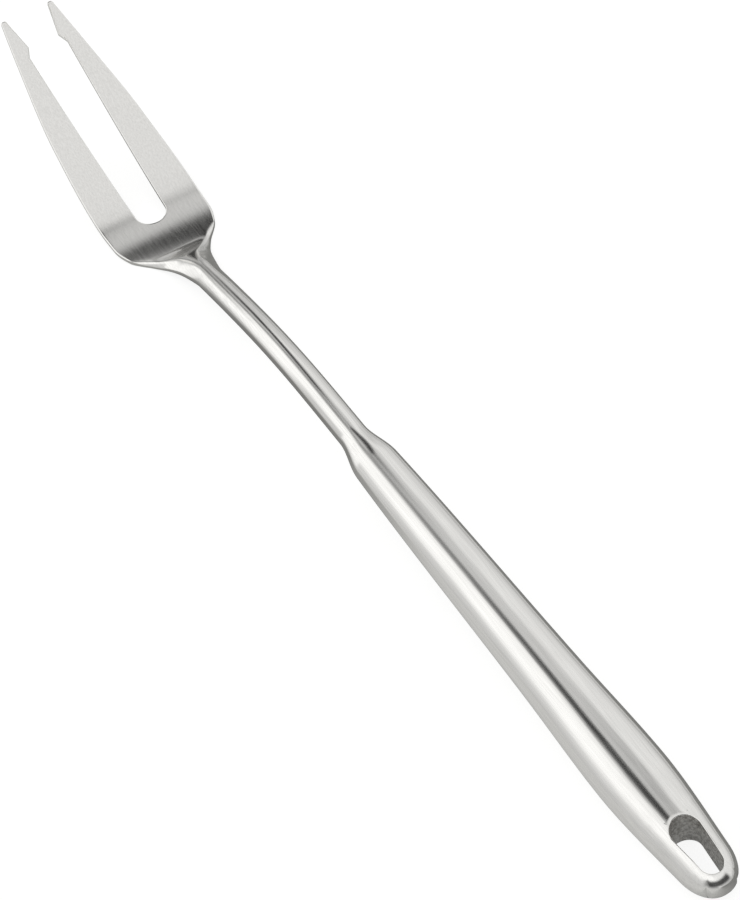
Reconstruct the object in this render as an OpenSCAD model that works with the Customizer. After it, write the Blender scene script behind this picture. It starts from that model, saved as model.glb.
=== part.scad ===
// Two-tined meat fork in stainless steel. A flat, bent-up head with barbed tines opens out
// of a slim neck, and a long hollow handle ends in a hanging slot. Everything is one piece.
// It lies as it rests on a table: the tines point to +X, the middle of the footprint is the
// origin. Stations are distances in millimetres from the tine tips, along the handle's axis.

/* [Overall] */
// Length along the handle's axis, from the tine tips to the end of the handle
fork_len = 339; // [331:1:370]
// Thickness of the metal around the hollow of the neck and handle
wall = 1.2; // [0.8:0.1:1.4]

/* [Head] */
// Width of the head where it is widest
head_w = 30.2; // [27:0.2:34]
// Thickness of the plate that the tines are cut from
plate_t = 1.2; // [1:0.1:2]
// Station where the head is widest
head_widest_at = 65; // [61:1:68]
// Station of the lowest point of the head, where it bends up towards the tips
head_low_at = 81.5; // [79:0.5:83]
// Station of the shoulders' corners
shoulder_at = 82; // [80:0.5:84]
// Width of the head across the shoulders' corners
shoulder_w = 26.4; // [24:0.2:28]

/* [Tines] */
// Width across the tines near their tips
front_w = 20.6; // [19:0.2:22]
// Station of that width
front_at = 13; // [11:1:16]
// Width across the tines halfway back
middle_w = 27.6; // [25:0.2:29]
// Station of that width
middle_at = 39; // [34:1:44]
// Distance between the middles of the two tips
tips_apart = 14.8; // [13:0.2:15.4]
// Radius of each tip
tip_r = 0.9; // [0.6:0.1:1.2]
// Width of the gap between the tines at its root
gap_w = 8.8; // [7:0.2:10]
// Station of the root of the gap
gap_end_at = 73; // [64:0.5:74]
// Width of the gap just behind the barbs
gap_mouth_w = 12; // [11:0.2:13]
// Width between the points of the barbs
barb_gap = 9.4; // [8.4:0.2:10.4]
// Station of the points of the barbs
barb_at = 9.6; // [8:0.2:12]
// Length of the step behind each barb
barb_step = 4; // [3:0.2:6]

/* [Neck] */
// Width of the neck
neck_w = 7.4; // [7:0.1:9]
// Thickness of the neck
neck_t = 6; // [5.4:0.1:7]
// Station where the neck has run out of the head
neck_from = 105; // [102:1:109]
// Station where the neck starts to swell into the handle
neck_to = 187; // [181:1:190]

/* [Handle] */
// Station where the handle's shoulder ends
grip_from = 199; // [196:1:205]
// Width of the handle just behind its shoulder
grip_front_w = 11.5; // [10.5:0.1:13]
// Thickness of the handle just behind its shoulder
grip_front_t = 8.3; // [7.6:0.1:9.2]
// Station of the handle's middle width
grip_mid_at = 276; // [256:1:286]
// Width of the handle there
grip_mid_w = 14.7; // [13.6:0.1:15.6]
// Station where the handle is widest
grip_widest_at = 305; // [298:1:309]
// Width of the handle where it is widest
grip_w = 16.4; // [15:0.2:19]
// Thickness of the handle where it is widest
grip_t = 10.7; // [9.6:0.1:12]
// Width of the handle where its rounded end begins
end_w = 12.6; // [11.4:0.2:13.6]
// Thickness of the handle where its rounded end begins
end_t = 9.4; // [8.6:0.1:10.4]
// Length of the rounded end
end_len = 8; // [6:0.5:9]

/* [Hanging slot] */
// Width of the slot's wide end, towards the head
slot_w = 6.8; // [5.6:0.2:7.2]
// Width of the slot's narrow end
slot_end_w = 5.2; // [4.2:0.2:5.6]
// Length of the slot
slot_len = 14.4; // [13:0.2:15]
// Metal left between the slot and the end of the handle
slot_margin = 2.8; // [2.6:0.1:4]

/* [Bends] */
// Angle of the tine tips to the handle's axis
tip_angle = 27; // [22:0.5:30]
// Angle of the tines where the head is widest
tine_angle = 17; // [14:0.5:20]
// Angle of the plate just in front of its lowest point
plate_angle = 7.5; // [5:0.5:9]
// Station of that angle
plate_angle_at = 71; // [69:1:74]
// Steepest angle of the neck to the handle's axis
neck_angle = 18; // [15:0.5:22]
// Station where the neck is steepest
neck_steep_at = 93; // [90:1:96]
// Angle of the neck where it has run out of the head
neck_front_angle = 13.5; // [12:0.5:15]
// Angle of the neck halfway along
neck_mid_angle = 10; // [6:0.5:12]
// Station of that angle
neck_mid_at = 132; // [123:1:141]
// Station where the centreline has come level with the handle's axis
straight_from = 180; // [171:1:183]

/* [Hidden] */
steel = [0.8, 0.8, 0.79];

// Sides of a section's outline, and of the hollow's
sides = 36;
hollow_sides = 24;

// Forms of a section, as 1 over the exponent of its curve: a flat plate, the crowned neck next
// to the head, and an oval bar
plate_form = 0.1;
crown_form = 0.52;
bar_form = 0.455;

// Where the neck runs out into the head: its length, how much it widens to each side, and how
// the width falls from the shoulders to the neck, in shares of these two
run_out = neck_from - shoulder_at;
flare = (shoulder_w - neck_w) / 2;
run_out_shape = [[0, 1], [0.26, 0.54], [0.5, 0.28], [0.83, 0.095], [1.13, 0]];
// Where the top starts to rise out of the plate, where it has become the neck's crown, and the
// crown's height above the centreline there
rise_from = shoulder_at + 3;
crown_at = shoulder_at + 13;
crown_up = 2.05;
// How far, and where most, the sides of the run-out are folded down below the centreline
fold = 0.75;
fold_at = shoulder_at + 6;

// Where the rounded end begins, and how much its section narrows and thins up to the very end
grip_end_at = fork_len - end_len;
end_narrowing = 2;
end_thinning = 1;
slot_from = fork_len - slot_margin - slot_len;
// Half the width of the blunt front of each tip
tip_flat = 0.15;

// A smooth curve through points of [station, value], without overshoot
function rate(p, i) = (p[i + 1][1] - p[i][1]) / (p[i + 1][0] - p[i][0]);
function lean(p, i) =
    i == 0 ? rate(p, 0) :
    i == len(p) - 1 ? rate(p, i - 1) :
    let (a = rate(p, i - 1), b = rate(p, i)) a * b <= 0 ? 0 : 2 * a * b / (a + b);
function span(p, s, i = 0) = (i >= len(p) - 2 || s < p[i + 1][0]) ? i : span(p, s, i + 1);
function along(p, s) =
    let (i = span(p, s), h = p[i + 1][0] - p[i][0], t = (s - p[i][0]) / h)
    (2 * t ^ 3 - 3 * t ^ 2 + 1) * p[i][1] + (t ^ 3 - 2 * t ^ 2 + t) * h * lean(p, i)
    + (3 * t ^ 2 - 2 * t ^ 3) * p[i + 1][1] + (t ^ 3 - t ^ 2) * h * lean(p, i + 1);

// Angle of the centreline to the handle's axis, and its height above that axis
bends = [
    [0, -tip_angle], [head_widest_at, -tine_angle], [plate_angle_at, -plate_angle], [head_low_at, 0],
    [neck_steep_at, neck_angle], [neck_from - 2, neck_front_angle], [neck_mid_at, neck_mid_angle],
    [straight_from, 0], [fork_len, 0]];
height_steps = 30;
function angle(s) = along(bends, s);
function height(s) =
    let (step = (straight_from - s) / height_steps)
    s >= straight_from ? 0 : -total([for (k = [0.5 : height_steps]) tan(angle(s + k * step)) * step]);
function total(v, i = 0) = i == len(v) ? 0 : v[i] + total(v, i + 1);

// Half the width at a station, with round tips and a round end
tip_y = tips_apart / 2;
plan = [
    [tip_r, tip_y + tip_r], [front_at, front_w / 2], [middle_at, middle_w / 2],
    [head_widest_at, head_w / 2], [shoulder_at - 6, head_w / 2 - 0.3],
    for (k = run_out_shape) [shoulder_at + run_out * k[0], neck_w / 2 + flare * k[1]],
    [neck_to, neck_w / 2], [grip_from, grip_front_w / 2], [grip_mid_at, grip_mid_w / 2],
    [grip_widest_at, grip_w / 2], [grip_end_at, end_w / 2], [fork_len, (end_w - end_narrowing) / 2]];
function arc(r, x) = sqrt(max(0, r ^ 2 - x ^ 2));
function half_w(s) =
    s < tip_r ? tip_y + max(tip_flat, arc(tip_r, tip_r - s)) : along(plan, s) * round_end(s);
round_n = 2.4;
function round_end(s) =
    s <= grip_end_at ? 1 : (1 - min(1, (s - grip_end_at) / end_len) ^ round_n) ^ (1 / round_n);

// Height of the top, and depth of the underside, from the centreline
crest = [
    [0, plate_t / 2], [rise_from, plate_t / 2], [crown_at, crown_up],
    [neck_from, neck_t / 2], [neck_to, neck_t / 2], [grip_from, grip_front_t / 2],
    [grip_widest_at, grip_t / 2], [grip_end_at, end_t / 2], [fork_len, (end_t - end_thinning) / 2]];
belly = [
    [0, plate_t / 2], [shoulder_at - 2, plate_t / 2], [neck_from + 3, neck_t / 2],
    [neck_to, neck_t / 2], [grip_from, grip_front_t / 2],
    [grip_widest_at, grip_t / 2], [grip_end_at, end_t / 2], [fork_len, (end_t - end_thinning) / 2]];
// Height of the side line, where a section is widest
side_line = [
    [0, 0], [shoulder_at - 2, 0], [fold_at, -fold], [neck_from - 2, 0], [fork_len, 0]];
top_form = [
    [0, plate_form], [rise_from - 0.5, plate_form], [crown_at + 0.5, crown_form],
    [neck_from, crown_form], [neck_to, bar_form], [fork_len, bar_form]];
under_form = [
    [0, plate_form], [shoulder_at, plate_form], [crown_at, 0.4], [neck_from, bar_form],
    [fork_len, bar_form]];

// One section: a ring of points across the centreline at a station
function sgn_pow(v, form) = sign(v) * abs(v) ^ (2 * form);
function on_fork(s, y, h) =
    [fork_len / 2 - s + h * sin(angle(s)), y, height(s) + h * cos(angle(s))];
function section(s, count, inset = 0, shrink = 1) = [
    for (k = [0 : count - 1])
    let (turn = 360 * k / count, up = sin(turn) > 0, form = along(up ? top_form : under_form, s),
         side = along(side_line, s),
         half_t = along(up ? crest : belly, s) * round_end(s) + (up ? -side : side))
    on_fork(s, (half_w(s) - inset) * shrink * sgn_pow(cos(turn), form),
            side + (half_t - inset) * shrink * sgn_pow(sin(turn), form))];

// A closed skin over rings of the same number of points
module skin(rings) {
    n = len(rings[0]);
    last = len(rings) - 1;
    polyhedron(
        points = [for (ring = rings) each ring],
        faces = [
            [for (k = [n - 1 : -1 : 0]) k],
            for (r = [0 : last - 1], k = [0 : n - 1])
                let (a = r * n + k, b = r * n + (k + 1) % n)
                each [[a, b + n, a + n], [a, b, b + n]],
            [for (k = [0 : n - 1]) last * n + k]]);
}

// Stations from one place to another, at even steps no longer than the given one
function steps(from, to, step) =
    let (n = ceil((to - from) / step)) [for (k = [0 : n - 1]) from + (to - from) * k / n];
stations = [
    0, tip_r * 0.15, tip_r * 0.5, each steps(tip_r, head_widest_at, 6),
    each steps(head_widest_at, shoulder_at - 2, 3), each steps(shoulder_at - 2, crown_at, 0.9),
    each steps(crown_at, neck_from + 3, 1.5),
    each steps(neck_from + 3, neck_to, 7), each steps(neck_to, grip_from + 4, 1.5),
    each steps(grip_from + 4, grip_widest_at, 9), each steps(grip_widest_at, grip_end_at, 4),
    for (turn = [0 : 12 : 84]) grip_end_at + end_len * sin(turn) ^ (2 / round_n)];

// How the fork lies: on the handle's underside in front of the slot and on the bend of its head
function under(s) = on_fork(s, 0, -along(belly, s));
heel = under(slot_from);
rest_tilt = max([
    for (s = stations) if (s < neck_from)
    let (p = under(s)) atan((heel[2] - p[2]) / (p[0] - heel[0]))]);
tips_x = laid(under(0))[0];
middle_x = (tips_x + laid([-fork_len / 2, 0, 0])[0]) / 2;
function laid(p) =
    [p[0] * cos(rest_tilt) - p[2] * sin(rest_tilt), p[0] * sin(rest_tilt) + p[2] * cos(rest_tilt)];

// The gap between the tines: half its width at a station, from in front of the tips to the root
gap_r = gap_w / 2;
root_from = gap_end_at - gap_r;
gap = [
    [tip_r, tip_y - tip_r], [barb_at, barb_gap / 2], [barb_at + barb_step, gap_mouth_w / 2],
    [(barb_at + root_from) / 2, (gap_mouth_w + gap_w) / 4], [root_from, gap_r]];
function half_gap(s) =
    s < tip_r ? tip_y - max(tip_flat, arc(tip_r, tip_r - s)) :
    s > root_from ? arc(gap_r, s - root_from) : along(gap, s);
gap_stations = [
    -1, 0, tip_r * 0.3, tip_r * 0.7, each steps(tip_r, barb_at, 3),
    each steps(barb_at, barb_at + barb_step, 0.8), each steps(barb_at + barb_step, root_from, 5),
    for (turn = [0 : 10 : 80]) root_from + gap_r * sin(turn), root_from + gap_r * sin(86)];
function cut_section(s) =
    let (w = half_gap(s), h = plate_t * 3)
    [on_fork(s, w, -h), on_fork(s, w, h), on_fork(s, -w, h), on_fork(s, -w, -h)];

// The hanging slot, wide towards the head and narrower towards the end
module slot_outline() {
    r = slot_w / 2;
    end_r = slot_end_w / 2;
    run = slot_len - r - end_r;
    tilt = asin((r - end_r) / run);
    translate([fork_len / 2 - slot_from - r, 0]) {
        circle(r, $fn = 48);
        translate([-run, 0]) circle(end_r, $fn = 48);
        polygon([
            for (side = [1, -1]) let (end = [-run, 0] + end_r * [-sin(tilt), side * cos(tilt)],
                start = r * [-sin(tilt), side * cos(tilt)]) each side > 0 ? [start, end] : [end, start]]);
    }
}

// The hollow of the neck and handle with rounded ends, closed in front of the slot
slot_wall = 3;
hollow_from = neck_from + 2;
hollow_to = slot_from - slot_wall;
hollow_end = 4;
function closing(s) = (1 - max(0, 1 - min(s - hollow_from, hollow_to - s) / hollow_end) ^ 2) ^ 0.5;
hollow_stations = [
    for (turn = [80 : -20 : 20]) hollow_from + hollow_end * (1 - sin(turn)),
    each steps(hollow_from + hollow_end, neck_to, 8), each steps(neck_to, grip_from + 4, 2.5),
    each steps(grip_from + 4, hollow_to - hollow_end, 12),
    for (turn = [0 : 20 : 80]) hollow_to - hollow_end * (1 - sin(turn))];

module fork() {
    color(steel)
    translate([-middle_x, 0, -laid(heel)[1]])
    rotate([0, -rest_tilt, 0])
    difference() {
        skin([for (s = stations) section(s, sides)]);
        skin([for (s = gap_stations) cut_section(s)]);
        skin([for (s = hollow_stations) section(s, hollow_sides, wall, closing(s))]);
        linear_extrude(grip_t * 2, center = true) slot_outline();
    }
}

fork();
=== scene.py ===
# %% [markdown]
# # A stainless steel meat fork
#
# The fork is one piece of steel: two barbed tines cut from a flat head, a slim arched neck and
# a long handle with a hanging slot. It has a satin finish, brushed from end to end, so what the
# eye reads is mostly the room around it, drawn out into long soft bands. Its looks therefore
# need two things above all: a skin with no flat facets, and a room worth reflecting.
#
# Such a form could be cut from a block or built of joined pieces, but every join would show as a
# break in the bands. So the fork is drawn out as one skin, ring by ring, and cut afterwards.

import math

import bmesh
import bpy
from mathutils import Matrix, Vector


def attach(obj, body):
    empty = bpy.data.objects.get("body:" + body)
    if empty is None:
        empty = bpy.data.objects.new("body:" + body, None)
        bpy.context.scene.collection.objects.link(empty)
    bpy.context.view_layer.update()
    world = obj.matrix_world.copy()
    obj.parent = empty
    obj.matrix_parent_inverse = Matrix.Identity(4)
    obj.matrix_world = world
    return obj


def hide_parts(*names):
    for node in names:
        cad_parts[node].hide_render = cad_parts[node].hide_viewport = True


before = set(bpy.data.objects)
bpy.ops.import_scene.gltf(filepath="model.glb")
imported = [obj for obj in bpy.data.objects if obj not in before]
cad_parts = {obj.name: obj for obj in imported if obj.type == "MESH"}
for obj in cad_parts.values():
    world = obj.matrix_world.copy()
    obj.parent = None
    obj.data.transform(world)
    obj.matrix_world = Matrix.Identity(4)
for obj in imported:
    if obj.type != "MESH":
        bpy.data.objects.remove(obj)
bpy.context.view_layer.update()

# %% [markdown]
# ## The sizes
#
# All sizes are in millimetres and become metres only when a point is placed. A *station* is a
# distance from the tine tips along the handle's axis. The head is a flat plate, the neck and
# handle are oval bars, and between the two lies the run-out, where the bar becomes a ridge that
# dies away in the plate.

# %% Sizes
# LEN is a length, T a thickness, W a width, R a radius; AT, FROM and TO are stations
MM = 0.001
FORK_LEN = 339.0
PLATE_T = 1.2
SHOULDER_AT = 82.0
HEAD_LOW_AT = 81.5
NECK_FROM = 105.0
NECK_TO = 187.0
NECK_W = 7.4
NECK_T = 6.0
GRIP_FROM = 199.0
GRIP_END_AT = 331.0
print("stations in mm: head to", SHOULDER_AT, "neck from", NECK_FROM, "to", NECK_TO, "end", FORK_LEN)


# %% [markdown]
# ## Curves
#
# Widths, heights and bends change smoothly along the fork. Each is a short list of stations and
# values, joined by a curve that never overshoots: where the values rise and then fall, the curve
# is level at the top. Straight lines between the values would be simpler, but each corner would
# show as a kink in the long reflections.

# %% A smooth curve through a few values
def along(knots, s):
    """Value at station s of a smooth curve through (station, value) pairs."""
    if s <= knots[0][0]:
        return knots[0][1]
    if s >= knots[-1][0]:
        return knots[-1][1]
    rates = [(b[1] - a[1]) / (b[0] - a[0]) for a, b in zip(knots, knots[1:])]

    def lean(i):
        if i == 0:
            return rates[0]
        if i == len(knots) - 1:
            return rates[-1]
        before, after = rates[i - 1], rates[i]
        return 0.0 if before * after <= 0 else 2 * before * after / (before + after)

    i = max(k for k in range(len(knots) - 1) if knots[k][0] <= s)
    h = knots[i + 1][0] - knots[i][0]
    t = (s - knots[i][0]) / h
    return ((2 * t**3 - 3 * t**2 + 1) * knots[i][1] + (t**3 - 2 * t**2 + t) * h * lean(i)
            + (3 * t**2 - 2 * t**3) * knots[i + 1][1] + (t**3 - t**2) * h * lean(i + 1))


def fade(value, start, end):
    """0 before start, 1 after end, with soft ends."""
    t = min(1.0, max(0.0, (value - start) / (end - start)))
    return t * t * (3 - 2 * t)


def arc(r, x):
    """Height of a circle of radius r at a distance x from its middle."""
    return math.sqrt(max(0.0, r * r - x * x))


print("a curve from 0 to 1, at its quarters:", [round(along([(0, 0), (4, 1)], k), 2) for k in range(5)])


# %% [markdown]
# ## The centreline
#
# Seen from the side, the fork is a line with bends: the tines slope up by 27 degrees at their
# tips, the head passes its lowest point, the neck climbs at up to 18 degrees and arches over
# into the level handle. The bends are what can be read off the object, so they are given, and the
# height of the line is the sum of its slopes, from the handle on.

# %% Bends and heights
# Slopes in degrees at stations, positive where the fork climbs towards the handle
STRAIGHT_FROM = 180
BENDS = [(0, -27), (65, -17), (71, -7.5), (HEAD_LOW_AT, 0), (93, 18), (103, 13.5), (132, 10),
         (STRAIGHT_FROM, 0), (FORK_LEN, 0)]
HEIGHT_STEP = 0.25
HEIGHTS = [0.0]
for k in range(int(STRAIGHT_FROM / HEIGHT_STEP)):
    middle = STRAIGHT_FROM - (k + 0.5) * HEIGHT_STEP
    HEIGHTS.append(HEIGHTS[-1] - math.tan(math.radians(along(BENDS, middle))) * HEIGHT_STEP)


def centre_height(s):
    """Height of the centreline over the handle's axis."""
    if s >= STRAIGHT_FROM:
        return 0.0
    place = (STRAIGHT_FROM - s) / HEIGHT_STEP
    k = min(int(place), len(HEIGHTS) - 2)
    return HEIGHTS[k] + (HEIGHTS[k + 1] - HEIGHTS[k]) * (place - k)


print("lowest point of the centreline:", round(min(HEIGHTS), 2), "mm")

# %% [markdown]
# ## Widths and depths
#
# The plan of the fork is its half width at each station. The tips and the handle's end are round.
# The crest is the height of the top over the centreline, the belly the depth of the underside,
# and the side line the height where the section is widest: in the run-out it dips, because the
# real sheet is folded down there to both sides.
#
# The section's form is one number. At 0.5 it is an ellipse, a little less makes its sides fuller,
# and at 0.1 it is a plate with quick corners. An ellipse alone can't make the top of the run-out,
# which stays flat and then rolls over into a straight flank. FLAT_TOP is half the width of that
# flat, and ROLL_R how softly it turns over.

# %% Plan, crest, belly and section form
TIP_R = 0.9
TIP_Y = 7.4
ROUND_N = 2.4
PLATE_FORM = 0.1
CROWN_FORM = 0.52
BAR_FORM = 0.455
PLAN = [(TIP_R, TIP_Y + TIP_R), (13, 10.3), (39, 13.8), (65, 15.1), (76, 14.8), (SHOULDER_AT, 13.2),
        (88, 8.85), (93.5, 6.35), (101, 4.6), (108, NECK_W / 2), (NECK_TO, NECK_W / 2),
        (GRIP_FROM, 5.75), (276, 7.35), (305, 8.2), (GRIP_END_AT, 6.3), (FORK_LEN, 5.3)]
GRIP_DEPTHS = [(NECK_TO, NECK_T / 2), (GRIP_FROM, 4.15), (305, 5.35), (GRIP_END_AT, 4.7), (FORK_LEN, 4.2)]
CREST = [(0, PLATE_T / 2), (85, PLATE_T / 2), (95, 2.05), (NECK_FROM, NECK_T / 2)] + GRIP_DEPTHS
BELLY = [(0, PLATE_T / 2), (80, PLATE_T / 2), (108, NECK_T / 2)] + GRIP_DEPTHS
SIDE_LINE = [(0, 0), (80, 0), (88, -0.75), (103, 0), (FORK_LEN, 0)]
TOP_FORM = [(0, PLATE_FORM), (84.5, PLATE_FORM), (95.5, CROWN_FORM), (NECK_FROM, CROWN_FORM),
            (NECK_TO, BAR_FORM), (FORK_LEN, BAR_FORM)]
UNDER_FORM = [(0, PLATE_FORM), (SHOULDER_AT, PLATE_FORM), (95, 0.4), (NECK_FROM, BAR_FORM),
              (FORK_LEN, BAR_FORM)]
FLAT_TOP = [(SHOULDER_AT, 13.1), (84, 11.75), (86, 10.15), (88, 8.45), (90, 6.7), (92, 5.0),
            (93.6, 3.8), (95, 2.8), (97, 2.1), (100, 1.6), (112, 1.5)]
ROLL_R = [(86, 0.4), (93, 1.0)]


def round_end(s):
    """How much the rounded end shrinks the section, from 1 to 0."""
    share = max(0.0, min(1.0, (s - GRIP_END_AT) / (FORK_LEN - GRIP_END_AT)))
    return (1 - share**ROUND_N) ** (1 / ROUND_N)


def half_width(s):
    """From the middle line to the outer side."""
    if s < TIP_R:
        return TIP_Y + arc(TIP_R, TIP_R - s)
    return along(PLAN, s) * round_end(s)


print("widest:", 2 * max(half_width(s) for s in range(100)), "mm at the head,",
      2 * max(half_width(s) for s in range(200, 330)), "mm at the handle")

# %% [markdown]
# ## The tines' gap
#
# The gap between the tines is punched out of the plate. From the tips it narrows to the barbs,
# steps wider behind them, and narrows again to its root, a half circle. The barbs are two corners
# in its edge, so straight lines draw them better than a smooth curve would.

# %% Half width of the gap
BARB_AT = 9.6
BARB_GAP = 9.4
BARB_STEP = 2.8
BEHIND_BARB_GAP = 12.0
GAP_W = 8.8
GAP_END_AT = 73.0
ROOT_FROM = GAP_END_AT - GAP_W / 2
GAP = [(TIP_R, TIP_Y - TIP_R), (BARB_AT, BARB_GAP / 2), (BARB_AT + BARB_STEP, BEHIND_BARB_GAP / 2),
       (ROOT_FROM, GAP_W / 2)]


def half_gap(s):
    """Half the gap's width, with a corner at the barb and one behind it."""
    if s < TIP_R:
        return TIP_Y - arc(TIP_R, TIP_R - s)
    for (a, wide), (b, next_wide) in zip(GAP, GAP[1:]):
        if s <= b:
            return wide + (next_wide - wide) * (s - a) / (b - a)
    return GAP_W / 2


print("gap at the barbs, behind them and at the root:",
      [2 * half_gap(s) for s in (BARB_AT, BARB_AT + BARB_STEP, ROOT_FROM)])

# %% [markdown]
# ## The net of points
#
# The skin is a net: rings of points across the fork, one for each row along it. A quarter of a
# ring has QUARTER columns, from the middle line out to the side. On the plate the first columns
# span the gap, the next ones the tine, and the last ones round the plate's edge. On the bar the
# columns are spread evenly round the oval. The rows lie closest where the form turns fastest: at
# the tips, in the run-out and round the hanging slot.

# %% Rows and columns
QUARTER = 44
RING = 4 * QUARTER
EDGE_COLUMNS = 3
GAP_COLUMNS = 10
SLOT_COLUMNS = 20
ROOT_ROWS = 10
SLOT_FROM = 321.8
SLOT_LEN = 14.4
SLOT_R = 3.4
SLOT_END_R = 2.6
SLOT_TO = SLOT_FROM + SLOT_LEN
SLOT_WIDE_AT = SLOT_FROM + SLOT_R
SLOT_NARROW_AT = SLOT_TO - SLOT_END_R


def spread(start, end, step):
    """Even steps, none longer than the given one, from start up to but not including end."""
    n = max(1, math.ceil((end - start) / step - 1e-9))
    return [start + (end - start) * k / n for k in range(n)]


ROWS = ([0.004, 0.03, 0.08, 0.16, 0.3, 0.5, 0.7] + spread(TIP_R, BARB_AT, 0.9)
        + spread(BARB_AT, BARB_AT + BARB_STEP, 0.5) + spread(BARB_AT + BARB_STEP, ROOT_FROM, 1.6)
        + spread(ROOT_FROM, GAP_END_AT, GAP_W / 2 / ROOT_ROWS))
GAP_ROW = len(ROWS)
ROWS += (spread(GAP_END_AT, 82, 0.5) + spread(82, 94, 0.25) + spread(94, 108, 0.6)
         + spread(108, NECK_TO, 2.4) + spread(NECK_TO, 203, 0.7) + spread(203, 300, 2.8)
         + spread(300, SLOT_FROM, 1.0))
SLOT_FIRST_ROW = len(ROWS)
ROWS += spread(SLOT_FROM, SLOT_WIDE_AT, SLOT_R / 9) + spread(SLOT_WIDE_AT, SLOT_NARROW_AT, 0.7)
ROWS += spread(SLOT_NARROW_AT, SLOT_TO, SLOT_END_R / 8)
SLOT_LAST_ROW = len(ROWS)

# Rows of the rounded end, at even steps of its turn up to just short of its point
END_ROWS = 14
first_turn = math.asin(((SLOT_TO - GRIP_END_AT) / (FORK_LEN - GRIP_END_AT)) ** (ROUND_N / 2))
last_turn = math.pi / 2 - 0.03
for k in range(END_ROWS):
    turn = first_turn + (last_turn - first_turn) * k / (END_ROWS - 1)
    ROWS.append(GRIP_END_AT + (FORK_LEN - GRIP_END_AT) * math.sin(turn) ** (2 / ROUND_N))
print(len(ROWS), "rows of", RING, "points")


# %% [markdown]
# ## Where a point of the net lies in plan
#
# Where the gap and the slot end in an arc, a square net would have corners or slivers. So its
# points are drawn in towards the arc's centre until the net's squares have become rings round it.
# The pull is full at the arc and dies away within a few millimetres.

# %% Plan of the net
EDGE_R = 0.3
PLATE_TO = 95
# The plate's columns give way to the bar's between these stations
NET_BAR_FROM, NET_BAR_FULL = 78, 86
# The columns gather at the slot's sides over this length, and close in where the end is narrower
SLOT_LEAD = 9
FULL_SLOT_HALF_W = 4.4
# How far outside an arc its pull is felt
ROOT_REACH, SLOT_REACH, SLOT_END_REACH = 5.5, 3, 2.2


def onto_arc(u, v, r, reach):
    """Draws a point of a square net, seen from an arc's centre, in towards rings round it."""
    m = max(u, abs(v))
    if u <= 0 or m == 0:
        return u, v
    pull = 1 + (m / math.hypot(u, v) - 1) * (1 - fade(m, r * 1.05, reach))
    return u * pull, v * pull


def column_y(row, column):
    """Distance from the middle line, on the square net."""
    s = ROWS[row]
    w = half_width(s)
    share = column / QUARTER
    even = w * math.sin(share * math.pi / 2)
    if s < PLATE_TO:
        gap = half_gap(s) if row < GAP_ROW else GAP_W / 2
        edge = QUARTER - EDGE_COLUMNS
        if column <= GAP_COLUMNS:
            plate = gap * column / GAP_COLUMNS
        elif column <= edge:
            plate = gap + (w - EDGE_R - gap) * (column - GAP_COLUMNS) / (edge - GAP_COLUMNS)
        else:
            plate = w - EDGE_R * (1 - math.sin(math.pi / 4 * min(2, column - edge)))
        bar = fade(s, NET_BAR_FROM, NET_BAR_FULL)
        return plate * (1 - bar) + even * bar
    near_slot = fade(s, SLOT_FROM - SLOT_LEAD, SLOT_FROM) * (1 - fade(s, SLOT_TO, FORK_LEN))
    if near_slot == 0:
        return even
    t = min(1.0, max(0.0, (s - SLOT_WIDE_AT) / (SLOT_NARROW_AT - SLOT_WIDE_AT)))
    slot = (SLOT_R + (SLOT_END_R - SLOT_R) * t) * min(1.0, w / FULL_SLOT_HALF_W)
    if column <= SLOT_COLUMNS:
        holed = slot * column / SLOT_COLUMNS
    else:
        at = math.asin(slot / w) / (math.pi / 2)
        part = (column - SLOT_COLUMNS) / (QUARTER - SLOT_COLUMNS)
        holed = w * math.sin((at + (1 - at) * part) * math.pi / 2)
    return even * (1 - near_slot) + holed * near_slot


def plan_point(row, column):
    """Station and distance from the middle line of a point of the net."""
    s, y = ROWS[row], column_y(row, column)
    if ROOT_FROM < s < GAP_END_AT + ROOT_REACH:
        u, y = onto_arc(s - ROOT_FROM, y, GAP_W / 2, GAP_W / 2 + ROOT_REACH)
        return ROOT_FROM + u, y
    if SLOT_FROM - SLOT_REACH < s < SLOT_WIDE_AT:
        u, y = onto_arc(SLOT_WIDE_AT - s, y, SLOT_R, SLOT_R + SLOT_REACH)
        return SLOT_WIDE_AT - u, y
    if s > SLOT_NARROW_AT:
        u, y = onto_arc(s - SLOT_NARROW_AT, y, SLOT_END_R, SLOT_END_R + SLOT_END_REACH)
        return SLOT_NARROW_AT + u, y
    return s, y


print("edge of the slot at its start:", [round(c, 2) for c in plan_point(SLOT_FIRST_ROW + 1, SLOT_COLUMNS)])

# %% [markdown]
# ## How high a point of the net lies
#
# Every height starts from an oval section. In the run-out the top takes the form of a roof
# instead: flat, then rolling over into a straight flank that ends at the sheet's rim. In front of
# the run-out the section is the plate itself, of one thickness and with rounded edges.

# %% Height of the section
# The roof gives way to the plain oval, and the plate to the bar, between these stations
ROLL_FULL, ROLL_GONE = 100, 118
BAR_FROM, BAR_FULL = 82, 86
TIP_ROUNDING = 0.5


def oval(y, w, form):
    """Share of the full height that a section has at a distance y from its middle."""
    return max(0.0, 1 - min(1.0, y / w) ** (1 / form)) ** form


def roof(y, w, flat, r, rim):
    """A flat top that rolls over into a straight flank, which ends at the sheet's rim."""
    def slope(t):
        return (t + math.sqrt(t * t + r * r)) / 2
    fall = (slope(y - flat) - slope(-flat)) / (slope(w - flat) - slope(-flat))
    return (1 - (1 - rim) * fall) * oval(y, w, PLATE_FORM)


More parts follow.
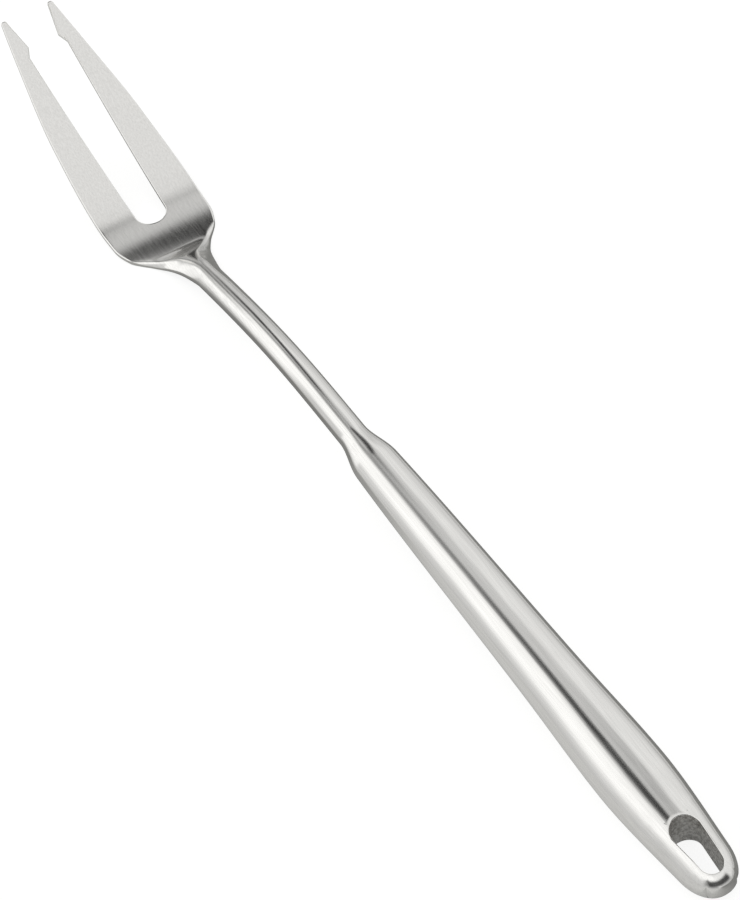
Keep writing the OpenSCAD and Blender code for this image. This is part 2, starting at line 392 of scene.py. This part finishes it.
def section_height(row, column, s, y, top):
    """Height over the centreline of a point on the top, or depth of one on the underside."""
    w = half_width(s)
    side = along(SIDE_LINE, s) * (1 if top else -1)
    depth = along(CREST if top else BELLY, s) * round_end(s)
    bar = side + (depth - side) * oval(y, w, along(TOP_FORM if top else UNDER_FORM, s))
    if top and s < ROLL_GONE:
        rim = PLATE_T / 2 / (depth - side)
        rolled = side + (depth - side) * roof(y, w, along(FLAT_TOP, s), along(ROLL_R, s), rim)
        bar += (rolled - bar) * (1 - fade(s, ROLL_FULL, ROLL_GONE))
    on_plate = 1 - fade(s, BAR_FROM, BAR_FULL)
    if on_plate == 0:
        return bar
    corner = max(0, column - (QUARTER - EDGE_COLUMNS))
    plate = PLATE_T / 2 - EDGE_R * (1 - math.cos(math.pi / 4 * min(2, corner)))
    if column == QUARTER:
        plate = 0.0
    plate *= arc(1, 1 - min(1.0, s / TIP_ROUNDING))
    return plate * on_plate + bar * (1 - on_plate)


print("height of the top on the plate, in the run-out and on the neck:",
      [round(section_height(GAP_ROW, 0, s, 0, True), 2) for s in (70, 90, 150)])

# %% [markdown]
# ## How the fork lies
#
# A point of a section is set across the centreline, at a right angle to it, so that the metal
# keeps its thickness in the bends. Then the whole fork is tipped until it rests as it would on a
# table, on the bend of its head and on the underside of its handle in front of the slot. The
# tipping angle is the smallest at which no part of the head goes below the table.

# %% Tip the fork onto the table
# The fork is centred over its length, and then set this far forward so that its round end, which
# is finer here than in the solid, stays inside the solid's box
SET_FORWARD = 0.03


def on_fork(s, y, h):
    """A point across the centreline, in the handle's own frame."""
    bend = math.radians(along(BENDS, s))
    return FORK_LEN / 2 - s + h * math.sin(bend), y, centre_height(s) + h * math.cos(bend)


def under(s):
    """Place of the underside's middle line along the fork, and its height."""
    x, y, z = on_fork(s, 0, -along(BELLY, s))
    return x, z


heel = under(SLOT_FROM)
REST_TILT = max(math.atan2(heel[1] - under(s)[1], under(s)[0] - heel[0]) for s in spread(60, 100, 0.1))


def laid(x, y, z):
    """A point of the handle's own frame, with the fork tipped."""
    c, d = math.cos(REST_TILT), math.sin(REST_TILT)
    return Vector((x * c - z * d, y, x * d + z * c))


LIFT = -laid(heel[0], 0, heel[1]).z
tips = under(0)
MIDDLE = (laid(tips[0], 0, tips[1]).x + laid(-FORK_LEN / 2, 0, 0).x) / 2
REST_SHIFT = Vector((SET_FORWARD - MIDDLE, 0, LIFT))
print("the fork is tipped by", round(math.degrees(REST_TILT), 2), "degrees")


def net_point(row, k):
    """Where point k of a row's ring lies. Point 0 is on the +Y side, and the top comes first."""
    top = k <= 2 * QUARTER
    side = 1 if k < QUARTER or k > 3 * QUARTER else -1
    column = abs(QUARTER - k) if top else abs(3 * QUARTER - k)
    s, y = plan_point(row, column)
    h = section_height(row, column, s, y, top)
    return (laid(*on_fork(s, side * y, h if top else -h)) + REST_SHIFT) * MM


# %% [markdown]
# ## The skin, ring by ring
#
# A circle is added with the points of one ring and laid onto the first section, at the tips. Then
# the ring is extruded, and each new ring is laid onto the next section: the way a bar is drawn
# out by hand, loop by loop. Joined primitives or a subdivided cage would be quicker to make, but
# only a net laid on the true sections gives reflections without a wobble. Every point keeps its
# row and its place in the ring as numbers on the mesh, so that later steps can find the faces
# they need.

# %% Helpers for edit mode
def select_only(obj):
    """Selects one object, or none at all."""
    for other in bpy.context.selected_objects:
        other.select_set(False)
    if obj:
        obj.select_set(True)
        bpy.context.view_layer.objects.active = obj


def edit(obj):
    """Enters edit mode and gives the mesh and its two number layers."""
    select_only(obj)
    bpy.ops.object.mode_set(mode="EDIT")
    mesh = bmesh.from_edit_mesh(obj.data)
    return mesh, mesh.verts.layers.int.get("row"), mesh.verts.layers.int.get("place")


def choose(mesh, kind, test):
    """Selects the edges or faces that pass the test, and nothing else."""
    bpy.ops.mesh.select_mode(type=kind)
    for element in [*mesh.verts, *mesh.edges, *mesh.faces]:
        element.select_set(False)
    chosen = [e for e in (mesh.edges if kind == "EDGE" else mesh.faces) if test(e)]
    for e in chosen:
        e.select_set(True)
    mesh.select_flush_mode()
    return len(chosen)


# %% Extrude the rings
select_only(None)
bpy.ops.mesh.primitive_circle_add(vertices=RING, radius=0.01)
fork = bpy.context.active_object
fork.name = "fork_skin"
bpy.ops.object.mode_set(mode="EDIT")
net = bmesh.from_edit_mesh(fork.data)
row_of = net.verts.layers.int.new("row")
place_of = net.verts.layers.int.new("place")
net.verts.ensure_lookup_table()
for k, vert in enumerate(net.verts):
    vert[place_of] = k
    vert.co = net_point(0, k)
bpy.ops.mesh.select_all(action="SELECT")
for row in range(1, len(ROWS)):
    bpy.ops.mesh.extrude_region_move()
    net = bmesh.from_edit_mesh(fork.data)
    row_of = net.verts.layers.int.get("row")
    place_of = net.verts.layers.int.get("place")
    net.verts.ensure_lookup_table()
    for vert in net.verts[-RING:]:
        vert[row_of] = row
        vert.co = net_point(row, vert[place_of])
bmesh.update_edit_mesh(fork.data)
bpy.ops.object.mode_set(mode="OBJECT")
print("skin:", len(fork.data.vertices), "points,", len(fork.data.polygons), "faces")


# %% [markdown]
# ## The gap and the slot
#
# Both are punched through the metal. A boolean cut would leave long thin faces that spoil the
# shading round them, so the faces of the gap are taken out of the top and the underside, and the
# two open edges are bridged. That makes the inner walls of the tines in one go, root and all.
# The hanging slot is cut the same way.

# %% Cut the gap and the slot
def off_middle(place):
    """Columns between a point and the middle line."""
    return abs(QUARTER - place) if place <= 2 * QUARTER else abs(3 * QUARTER - place)


net, row_of, place_of = edit(fork)


def in_gap(face):
    return all(v[row_of] <= GAP_ROW and off_middle(v[place_of]) <= GAP_COLUMNS for v in face.verts)


def in_slot(face):
    return all(SLOT_FIRST_ROW <= v[row_of] <= SLOT_LAST_ROW and off_middle(v[place_of]) <= SLOT_COLUMNS
               for v in face.verts)


print("faces taken out:", choose(net, "FACE", lambda f: in_gap(f) or in_slot(f)))
bpy.ops.mesh.delete(type="FACE")


def bridge(test):
    """Joins the two open edges whose points pass the test by a wall."""
    net, row_of, place_of = edit(fork)
    count = choose(net, "EDGE", lambda e: e.is_boundary and test(e.verts, row_of))
    bpy.ops.mesh.bridge_edge_loops()
    print("bridged", count, "edges")


bpy.ops.object.mode_set(mode="OBJECT")
bridge(lambda verts, row: all(v[row] <= GAP_ROW for v in verts) and any(v[row] > 0 for v in verts))
bpy.ops.object.mode_set(mode="OBJECT")
bridge(lambda verts, row: all(SLOT_FIRST_ROW <= v[row] <= SLOT_LAST_ROW for v in verts))
bpy.ops.object.mode_set(mode="OBJECT")

# %% [markdown]
# ## Ends and edges
#
# The blunt tips and the very end of the handle are still open, and get one face each. The rims
# of the gap and the slot are eased by polishing on the real fork. A light bevel does the same,
# and its narrow band catches the light as a polished edge does. Only faces that meet at less than
# 38 degrees are shaded smoothly together, so the rims stay crisp.

# %% Close the ends
net, row_of, place_of = edit(fork)
print("open edges:", choose(net, "EDGE", lambda e: e.is_boundary))
bpy.ops.mesh.fill_holes(sides=0)
net = bmesh.from_edit_mesh(fork.data)
print("still open:", sum(e.is_boundary for e in net.edges))
bpy.ops.mesh.select_all(action="SELECT")
bpy.ops.mesh.normals_make_consistent(inside=False)
bpy.ops.object.mode_set(mode="OBJECT")

# %% Ease the edges
# Faces that meet at more than 0.9 radians, some 52 degrees, make a sharp edge. The first three
# rows lie within 0.1 mm of the tips and are left as they are. The bevels are in mm.
SHARP = 0.9
BEHIND_TIPS_ROW = 3
GAP_BEVEL = 0.25
SLOT_BEVEL = 0.35
SMOOTH_BELOW_DEGREES = 38
net, row_of, place_of = edit(fork)


def wall_edge(e, first, last):
    """An edge between a wall and the skin, where they meet at a sharp angle."""
    if not all(first <= v[row_of] <= last for v in e.verts) or len(e.link_faces) != 2:
        return False
    return e.calc_face_angle() > SHARP


print("gap rim edges:", choose(net, "EDGE", lambda e: wall_edge(e, BEHIND_TIPS_ROW, GAP_ROW)))
bpy.ops.mesh.bevel(offset=GAP_BEVEL * MM, segments=2, affect="EDGES", clamp_overlap=False)
bpy.ops.object.mode_set(mode="OBJECT")
net, row_of, place_of = edit(fork)
print("slot rim edges:", choose(net, "EDGE", lambda e: wall_edge(e, SLOT_FIRST_ROW, SLOT_LAST_ROW)))
bpy.ops.mesh.bevel(offset=SLOT_BEVEL * MM, segments=3, affect="EDGES", clamp_overlap=False)
bpy.ops.object.mode_set(mode="OBJECT")
select_only(fork)
bpy.ops.object.shade_smooth_by_angle(angle=math.radians(SMOOTH_BELOW_DEGREES))
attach(fork, "root")
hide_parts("fork")
print("fork:", len(fork.data.polygons), "faces")

# %% [markdown]
# ## Steel
#
# The fork is stainless steel, brushed along its length to a satin finish. Such steel is metal
# through and through: its colour is the colour of its reflections, a hair warmer than neutral.
# The scratches blur what is reflected, and they show as faint streaks. They could be painted on
# as dark and light lines, but then they would stay when the light changes. So one stretched noise
# drives the roughness, a slight change of tone and a very small bump together.

# %% Material helpers
def linear(hex_colour):
    """Linear colour of an sRGB hex value."""
    parts = [int(hex_colour[k:k + 2], 16) / 255 for k in (1, 3, 5)]
    return tuple(c / 12.92 if c <= 0.04045 else ((c + 0.055) / 1.055) ** 2.4 for c in parts) + (1.0,)


def add(tree, kind, settings=None, values=None, links=None):
    """Adds a node. settings are its properties, values its sockets, links {socket: output}."""
    node = tree.nodes.new(kind)
    for name, value in (settings or {}).items():
        setattr(node, name, value)
    for name, value in (values or {}).items():
        node.inputs[name].default_value = value
    for name, output in (links or {}).items():
        tree.links.new(output, node.inputs[name])
    return node


def new_material(name):
    material = bpy.data.materials.new(name)
    material.use_nodes = True
    material.node_tree.nodes.clear()
    return material, material.node_tree


# %% Brushed stainless steel
# Real scratches are some 0.02 mm wide. That is too fine to show here, so they are drawn 0.4 mm
# wide and 40 mm long, which gives the eye the same soft grain along the fork. A roughness of 0.1
# to 0.17 is that of a fine satin: bands keep their place and lose their edges.
STREAKS_PER_MM = 2.6
STREAK_LEN = 40.0


def brushed_steel():
    material, tree = new_material("satin_brushed_stainless_steel")
    place = add(tree, "ShaderNodeTexCoord")
    along_m, across_m = 1000 / STREAK_LEN, 1000 * STREAKS_PER_MM
    streaks = add(tree, "ShaderNodeMapping", values={"Scale": (along_m, across_m, across_m)},
                  links={"Vector": place.outputs["Object"]})
    scratch = add(tree, "ShaderNodeTexNoise", values={"Scale": 1.0, "Detail": 3.0, "Roughness": 0.6},
                  links={"Vector": streaks.outputs["Vector"]})
    rough = add(tree, "ShaderNodeMapRange", values={"To Min": 0.1, "To Max": 0.17},
                links={"Value": scratch.outputs["Fac"]})
    tone = add(tree, "ShaderNodeMapRange", values={"From Min": 0.3, "From Max": 0.7},
               links={"Value": scratch.outputs["Fac"]})
    colour = add(tree, "ShaderNodeMix", {"data_type": "RGBA"},
                 {6: linear("#E6E5E2"), 7: linear("#F4F3F0")}, {0: tone.outputs["Result"]})
    bump = add(tree, "ShaderNodeBump", values={"Strength": 0.02, "Distance": 0.0002},
               links={"Height": scratch.outputs["Fac"]})
    shader = add(tree, "ShaderNodeBsdfPrincipled", values={"Metallic": 1.0},
                 links={"Base Color": colour.outputs[2], "Roughness": rough.outputs["Result"],
                        "Normal": bump.outputs["Normal"]})
    add(tree, "ShaderNodeOutputMaterial", links={"Surface": shader.outputs["BSDF"]})
    return material


# %% [markdown]
# ## The wall of the slot
#
# No brush reaches into the slot. Its wall is bare steel as the punch left it: rougher, a little
# darker, and grainy without a direction. The faces of the wall get this second material, which
# is better than one material that changes from place to place, because the rim stays sharp.

# %% Punched stainless steel
# The grain of a punched edge is some 0.2 mm. It is drawn at 0.7 mm, about as fine as shows here.
GRAINS_PER_MM = 1.4


def punched_steel():
    material, tree = new_material("punched_stainless_steel_wall")
    place = add(tree, "ShaderNodeTexCoord")
    grain = add(tree, "ShaderNodeTexNoise", values={"Scale": 1000 * GRAINS_PER_MM, "Detail": 3.0},
                links={"Vector": place.outputs["Object"]})
    tone = add(tree, "ShaderNodeMapRange", values={"From Min": 0.35, "From Max": 0.65},
               links={"Value": grain.outputs["Fac"]})
    colour = add(tree, "ShaderNodeMix", {"data_type": "RGBA"},
                 {6: linear("#BDBBB7"), 7: linear("#F6F5F2")}, {0: tone.outputs["Result"]})
    bump = add(tree, "ShaderNodeBump", values={"Strength": 0.6, "Distance": 0.0005},
               links={"Height": grain.outputs["Fac"]})
    shader = add(tree, "ShaderNodeBsdfPrincipled", values={"Metallic": 1.0, "Roughness": 0.42},
                 links={"Base Color": colour.outputs[2], "Normal": bump.outputs["Normal"]})
    add(tree, "ShaderNodeOutputMaterial", links={"Surface": shader.outputs["BSDF"]})
    return material


# %% Finish the fork
# STEEP is the most that the normal of a wall's face may point up or down, where 1 is straight
# up. The wall lies behind SLOT_X, and within SLOT_SIDE of the middle line, both in mm.
STEEP = 0.35
SLOT_X = -150.0
SLOT_SIDE = 3.6


def in_slot_wall(face):
    """A steep face of the slot's rows, close to the middle line."""
    middle = face.calc_center_median()
    return (all(SLOT_FIRST_ROW <= v[row_of] <= SLOT_LAST_ROW for v in face.verts)
            and abs(face.normal.z) < STEEP and middle.x < SLOT_X * MM and abs(middle.y) < SLOT_SIDE * MM)


fork.data.materials.append(brushed_steel())
fork.data.materials.append(punched_steel())
net, row_of, place_of = edit(fork)
in_wall = choose(net, "FACE", in_slot_wall)
fork.active_material_index = 1
bpy.ops.object.material_slot_assign()
bpy.ops.object.mode_set(mode="OBJECT")
print("faces of the slot's wall:", in_wall)

# %% [markdown]
# ## The floor
#
# The fork lies on a pale matt floor. More light would turn it white, and would burn out the fork
# as well. So the floor is grey, and a glow that only the camera sees lifts it to white, with the
# fork's soft shadow still on it.
#
# Metal shows the floor too, so a weaker glow is there for mirrored rays, and a shadow is painted
# into it: it is darkest in a strip below the fork and to its right, and in a spot below the neck,
# where in a real studio the fork shades the floor. That draws the fork's outline against the white.

# %% Floor
CAMERA_GLOW = 0.84
# The mirrored glow inside the painted shadow and on the open floor
MIRRORED_GLOW = (0.03, 0.42)
# The painted shadow's strip: middle line, half widths where it is dark and where it has ended, in mm
SHADE_STRIP_Y = -30.0
SHADE_STRIP_HALF_W = (20.0, 45.0)
# Painted shadow's spot: middle below the neck, radii as for the strip; it is longer than it is wide
NECK_X = 30.0
SHADE_SPOT_R = (20.0, 80.0)
SHADE_SPOT_STRETCH = 0.8


def floor_with_painted_shade():
    material, tree = new_material("pale_matt_floor_painted_shade")
    path = add(tree, "ShaderNodeLightPath")
    place = add(tree, "ShaderNodeTexCoord")
    axes = add(tree, "ShaderNodeSeparateXYZ", links={0: place.outputs["Object"]})
    # Painted shadow: the mirrored glow is taken down in this strip and in the spot below the neck
    beside = add(tree, "ShaderNodeMath", {"operation": "ADD"}, {1: -SHADE_STRIP_Y * MM}, {0: axes.outputs["Y"]})
    beside = add(tree, "ShaderNodeMath", {"operation": "ABSOLUTE"}, links={0: beside.outputs[0]})
    shade_strip = add(tree, "ShaderNodeMapRange", {"interpolation_type": "SMOOTHSTEP"},
                {"From Min": SHADE_STRIP_HALF_W[0] * MM, "From Max": SHADE_STRIP_HALF_W[1] * MM},
                {"Value": beside.outputs[0]})
    round_neck = add(tree, "ShaderNodeMapping",
                     values={"Location": (-NECK_X * SHADE_SPOT_STRETCH * MM, 0.0, 0.0),
                             "Scale": (SHADE_SPOT_STRETCH, 1.0, 1.0)},
                     links={"Vector": place.outputs["Object"]})
    reach = add(tree, "ShaderNodeVectorMath", {"operation": "LENGTH"}, links={0: round_neck.outputs[0]})
    shade_spot = add(tree, "ShaderNodeMapRange", {"interpolation_type": "SMOOTHSTEP"},
               {"From Min": SHADE_SPOT_R[0] * MM, "From Max": SHADE_SPOT_R[1] * MM}, {"Value": reach.outputs["Value"]})
    out_of_shade = add(tree, "ShaderNodeMath", {"operation": "MULTIPLY"},
               links={0: shade_strip.outputs[0], 1: shade_spot.outputs[0]})
    glow_with_painted_shade = add(tree, "ShaderNodeMapRange",
                     values={"To Min": MIRRORED_GLOW[0], "To Max": MIRRORED_GLOW[1]},
                     links={"Value": out_of_shade.outputs[0]})
    mirrored = add(tree, "ShaderNodeMath", {"operation": "MAXIMUM"},
                   links={0: path.outputs["Is Glossy Ray"], 1: path.outputs["Is Transmission Ray"]})
    glow = add(tree, "ShaderNodeMath", {"operation": "MULTIPLY"},
               links={0: mirrored.outputs[0], 1: glow_with_painted_shade.outputs["Result"]})
    glow = add(tree, "ShaderNodeMath", {"operation": "MULTIPLY_ADD"}, {1: CAMERA_GLOW},
               {0: path.outputs["Is Camera Ray"], 2: glow.outputs[0]})
    matt = add(tree, "ShaderNodeBsdfDiffuse", values={"Color": linear("#8E8E8C")})
    white = add(tree, "ShaderNodeEmission", links={"Strength": glow.outputs[0]})
    both = add(tree, "ShaderNodeAddShader", links={0: matt.outputs[0], 1: white.outputs[0]})
    add(tree, "ShaderNodeOutputMaterial", links={"Surface": both.outputs[0]})
    return material


select_only(None)
bpy.ops.mesh.primitive_plane_add(size=8.0, location=(0, 0, 0))
floor = bpy.context.active_object
floor.name = "floor"
floor.data.materials.append(floor_with_painted_shade())
print("floor:", [round(c, 1) for c in floor.dimensions[:2]], "m")

# %% [markdown]
# ## A room to reflect
#
# Polished metal is photographed in a tent of white cloth, and what it shows is the tent's shades.
# Lamps and cards could be set up for each of them. Here the world itself is the tent, because a
# few angles say where each shade is, and its light reaches the fork evenly from all sides.
#
# The room is a soft white shell round the fork's axis: `turn` is the angle round that axis, from
# the horizon at the fork's left (0 degrees) over the top (90) to the horizon at its right (180).
# Into the shell go some darker patches with soft edges: narrow bars overhead, which draw the dark
# line along the handle, a doorway and a grey wall beyond the tines, and the gap behind the
# camera. `cone` is the angle off the axis, and `azimuth` and `elevation` are measured from the
# axis and from the horizon. All angles are in degrees.

# %% Shades of the room
HALF_TURN = 180.0
# The shell's light at each turn, where 1 is white
SHELL = [(0, 0.92), (15, 1.02), (32, 1.15), (78, 1.14), (90, 0.95), (116, 0.93), (128, 0.86),
         (158, 0.84), (170, 0.74), (179, 0.45)]
# What is left of the light in each patch, and its soft edges as (angle, outside, inside)
PATCHES = [
    # Low on the left: the shade along the side of the neck and handle
    (0.64, [("turn", 55, 28), ("cone", 43, 50)]),
    # Bars overhead, one inside the other, wider towards the back: the handle's dark line
    (0.70, [("turn", 86, 100), ("turn", 124, 114), ("cone", 80, 66)]),
    (0.48, [("turn", 84, 92), ("turn", 102, 97), ("cone", 74, 68)]),
    (0.10, [("turn", 86, 94), ("turn", 102, 99), ("cone", 51, 61), ("cone", 76, 70)]),
    (0.50, [("turn", 82, 88), ("turn", 99, 95), ("cone", 62, 66), ("cone", 80, 72)]),
    (0.74, [("turn", 104, 108), ("turn", 121, 115), ("cone", 59, 64), ("cone", 82, 74)]),
    # The wall beyond the tines, greyest in its middle: the neck's top
    (0.72, [("azimuth", 20, 12), ("azimuth", -75, -15), ("elevation", 32, 22)]),
    (0.68, [("azimuth", 18, 11), ("azimuth", -14, -4), ("elevation", 32, 22)]),
    # The doorway and its threshold: the dark band across the head
    (0.02, [("azimuth", -9, -16.8), ("azimuth", -25, -18.5), ("elevation", 13, 26),
            ("elevation", 51, 47.5)]),
    (0.55, [("azimuth", -12, -13.5), ("azimuth", -23, -17), ("elevation", 2, 8), ("elevation", 24, 14)]),
    # The gap behind the camera, in two halves that meet at 180 degrees: the dark mark on the round end
    (0.08, [("azimuth", 114, 140), ("elevation", -4, 22), ("elevation", 48, 36)]),
    (0.08, [("azimuth", -128, -142), ("elevation", -4, 22), ("elevation", 48, 36)]),
    # The ceiling, a little darker than the walls
    (0.88, [("elevation", 58, 66)])]
print("light room with", len(PATCHES), "dark patches")


# %% World
def room_angles(tree):
    """The four angles of a direction, in degrees."""
    way = add(tree, "ShaderNodeTexCoord").outputs["Generated"]
    axes = add(tree, "ShaderNodeSeparateXYZ", links={0: way}).outputs
    turn = add(tree, "ShaderNodeMath", {"operation": "ARCTAN2"}, links={0: axes["Z"], 1: axes["Y"]})
    azimuth = add(tree, "ShaderNodeMath", {"operation": "ARCTAN2"}, links={0: axes["Y"], 1: axes["X"]})
    elevation = add(tree, "ShaderNodeMath", {"operation": "ARCSINE"}, links={0: axes["Z"]})
    cone = add(tree, "ShaderNodeMath", {"operation": "ARCCOSINE"}, links={0: axes["X"]})
    angles = {}
    for name, node in (("turn", turn), ("azimuth", azimuth), ("elevation", elevation), ("cone", cone)):
        degrees = add(tree, "ShaderNodeMath", {"operation": "DEGREES"}, links={0: node.outputs[0]})
        angles[name] = degrees.outputs[0]
    return angles


def shell_light(tree, turn):
    """The light of the shell at each turn."""
    share = add(tree, "ShaderNodeMath", {"operation": "DIVIDE"}, {1: HALF_TURN}, {0: turn})
    shell = add(tree, "ShaderNodeValToRGB", links={"Fac": share.outputs[0]})
    ramp = shell.color_ramp
    while len(ramp.elements) < len(SHELL):
        ramp.elements.new(0.5)
    for element, (place, value) in zip(ramp.elements, SHELL):
        element.position = place / HALF_TURN
        element.color = (value, value, value, 1.0)
    return shell.outputs["Color"]


def dimmed(tree, angles, light, left, edges):
    """The light with one patch in it, where only the share left gets through."""
    cover = None
    for name, outside, inside in edges:
        edge = add(tree, "ShaderNodeMapRange", {"interpolation_type": "SMOOTHSTEP"},
                   {"From Min": outside, "From Max": inside}, {"Value": angles[name]})
        if cover:
            edge = add(tree, "ShaderNodeMath", {"operation": "MULTIPLY"},
                       links={0: cover.outputs[0], 1: edge.outputs[0]})
        cover = edge
    keep = add(tree, "ShaderNodeMapRange", values={"To Min": 1.0, "To Max": left},
               links={"Value": cover.outputs[0]})
    result = add(tree, "ShaderNodeMath", {"operation": "MULTIPLY"}, links={0: light, 1: keep.outputs[0]})
    return result.outputs[0]


world = bpy.data.worlds.new("light_room")
bpy.context.scene.world = world
world.use_nodes = True
room = world.node_tree
room.nodes.clear()
angles = room_angles(room)
light = shell_light(room, angles["turn"])
for left, edges in PATCHES:
    light = dimmed(room, angles, light, left, edges)
backdrop = add(room, "ShaderNodeBackground", values={"Strength": 1.0}, links={"Color": light})
add(room, "ShaderNodeOutputWorld", links={"Surface": backdrop.outputs[0]})
print("world of", len(room.nodes), "nodes")

# %% [markdown]
# ## The camera
#
# The camera stands behind the handle and to its left and looks down along the fork. Its place
# and lens were found from the photograph's outline: about 56 cm away, with a long lens. With a
# wider lens close by, the handle would look too thick for the tines.

# %% Camera
camera_data = bpy.data.cameras.new("camera")
camera_data.lens = 92.0
camera_data.sensor_width = 36.0
camera = bpy.data.objects.new("camera", camera_data)
bpy.context.scene.collection.objects.link(camera)
camera.location = Vector((-386.6, 131.73, 397.26)) * MM
camera.rotation_euler = [math.radians(a) for a in (44.18, 9.249, -119.503)]
camera_data.clip_start = 0.01
bpy.context.scene.camera = camera
bpy.context.scene.view_settings.view_transform = "Standard"
print("camera", round(camera.location.length, 2), "m from the floor below the fork's middle")

# %% Finish
bpy.context.view_layer.update()
